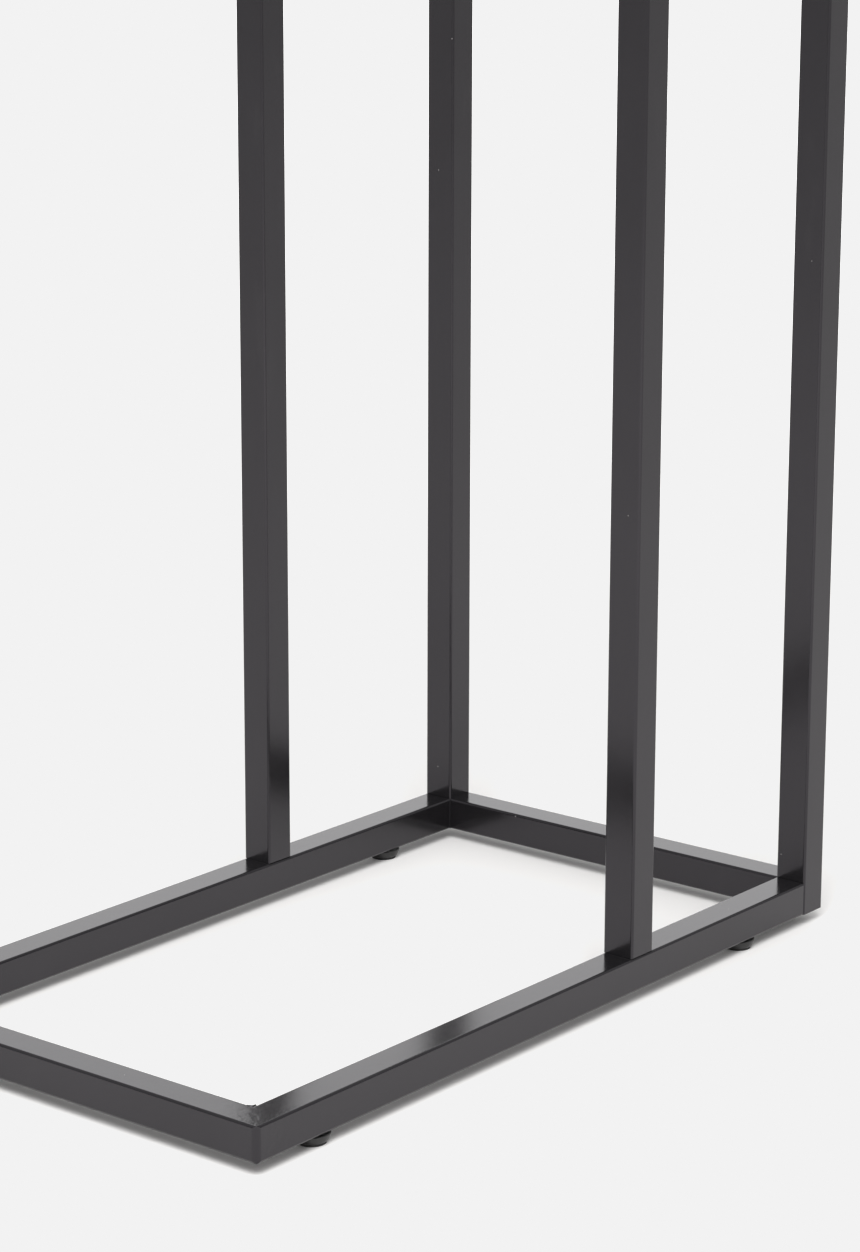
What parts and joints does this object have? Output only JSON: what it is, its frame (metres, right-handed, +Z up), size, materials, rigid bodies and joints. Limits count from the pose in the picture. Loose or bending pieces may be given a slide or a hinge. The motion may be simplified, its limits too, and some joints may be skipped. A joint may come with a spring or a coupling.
{
  "type": "valet stand",
  "caption": "Free-standing valet stand of black square tube with a rectangular base, a tray, a trouser bar and a shoulder-shaped jacket hanger on levelling feet.",
  "frame": {"origin": "on the floor, at the centre of the bounding box seen from above", "axes": "+X to the right of someone facing the front, +Y from the open end of the base towards the rear posts, +Z up"},
  "size_m": [0.4304, 0.51, 1.112],
  "materials": {
    "black_powder_coat": "satin black powder coat",
    "zinc_steel": "zinc plated",
    "black_plastic": "moulded, slightly glossy",
    "sole_rubber": "dull",
    "oiled_wood": "oiled walnut"
  },
  "bodies": {
    "root": {"side_rail_left": "black_powder_coat", "side_rail_right": "black_powder_coat", "front_rail": "black_powder_coat", "back_rail": "black_powder_coat", "rear_post_left": "black_powder_coat", "rear_post_right": "black_powder_coat", "top_rail": "black_powder_coat", "rear_cross_rail": "black_powder_coat", "front_post_left": "black_powder_coat", "front_post_right": "black_powder_coat", "front_top_rail": "black_powder_coat", "tie_rail_left": "black_powder_coat", "tie_rail_right": "black_powder_coat", "base_corner_welds": "black_powder_coat", "top_corner_welds": "black_powder_coat", "threaded_plugs": "zinc_steel", "frame_bolts": "zinc_steel", "bolt_hole_caps": "black_plastic", "post_end_caps": "black_plastic", "foot_inserts": "zinc_steel", "tray_bottom": "oiled_wood", "tray_front_wall": "oiled_wood", "tray_back_wall": "oiled_wood", "tray_side_wall_left": "oiled_wood", "tray_side_wall_right": "oiled_wood", "tray_screws": "zinc_steel", "trouser_bar": "oiled_wood", "trouser_bar_screws": "zinc_steel", "jacket_hanger": "oiled_wood", "hanger_screws": "zinc_steel"},
    "foot_base_front_left": {"foot_sole_front_left": "sole_rubber"},
    "foot_screw_front_left": {"foot_bowl_front_left": "black_plastic", "foot_stud_front_left": "zinc_steel"},
    "foot_base_front_right": {"foot_sole_front_right": "sole_rubber"},
    "foot_screw_front_right": {"foot_bowl_front_right": "black_plastic", "foot_stud_front_right": "zinc_steel"},
    "foot_base_rear_left": {"foot_sole_rear_left": "sole_rubber"},
    "foot_screw_rear_left": {"foot_bowl_rear_left": "black_plastic", "foot_stud_rear_left": "zinc_steel"},
    "foot_base_rear_right": {"foot_sole_rear_right": "sole_rubber"},
    "foot_screw_rear_right": {"foot_bowl_rear_right": "black_plastic", "foot_stud_rear_right": "zinc_steel"}
  },
  "joints": [
    {"name": "foot_height_front_left", "type": "slide", "parent": "root", "child": "foot_base_front_left", "axis": [0, 0, -1], "range_m": [-0.001, 0.008]},
    {"name": "foot_turn_front_left", "type": "hinge", "parent": "foot_base_front_left", "child": "foot_screw_front_left", "pos_m": [-0.135, -0.202, 0.004], "axis": [0, 0, -1], "continuous": true},
    {"name": "foot_height_front_right", "type": "slide", "parent": "root", "child": "foot_base_front_right", "axis": [0, 0, -1], "range_m": [-0.001, 0.008]},
    {"name": "foot_turn_front_right", "type": "hinge", "parent": "foot_base_front_right", "child": "foot_screw_front_right", "pos_m": [0.135, -0.202, 0.004], "axis": [0, 0, -1], "continuous": true},
    {"name": "foot_height_rear_left", "type": "slide", "parent": "root", "child": "foot_base_rear_left", "axis": [0, 0, -1], "range_m": [-0.001, 0.008]},
    {"name": "foot_turn_rear_left", "type": "hinge", "parent": "foot_base_rear_left", "child": "foot_screw_rear_left", "pos_m": [-0.135, 0.18, 0.004], "axis": [0, 0, -1], "continuous": true},
    {"name": "foot_height_rear_right", "type": "slide", "parent": "root", "child": "foot_base_rear_right", "axis": [0, 0, -1], "range_m": [-0.001, 0.008]},
    {"name": "foot_turn_rear_right", "type": "hinge", "parent": "foot_base_rear_right", "child": "foot_screw_rear_right", "pos_m": [0.135, 0.18, 0.004], "axis": [0, 0, -1], "continuous": true}
  ],
  "couplings": [
    {"joint": "foot_turn_front_left", "follows": "foot_height_front_left", "rad_per_m": 6283.2},
    {"joint": "foot_turn_front_right", "follows": "foot_height_front_right", "rad_per_m": 6283.2},
    {"joint": "foot_turn_rear_left", "follows": "foot_height_rear_left", "rad_per_m": 6283.2},
    {"joint": "foot_turn_rear_right", "follows": "foot_height_rear_right", "rad_per_m": 6283.2}
  ]
}
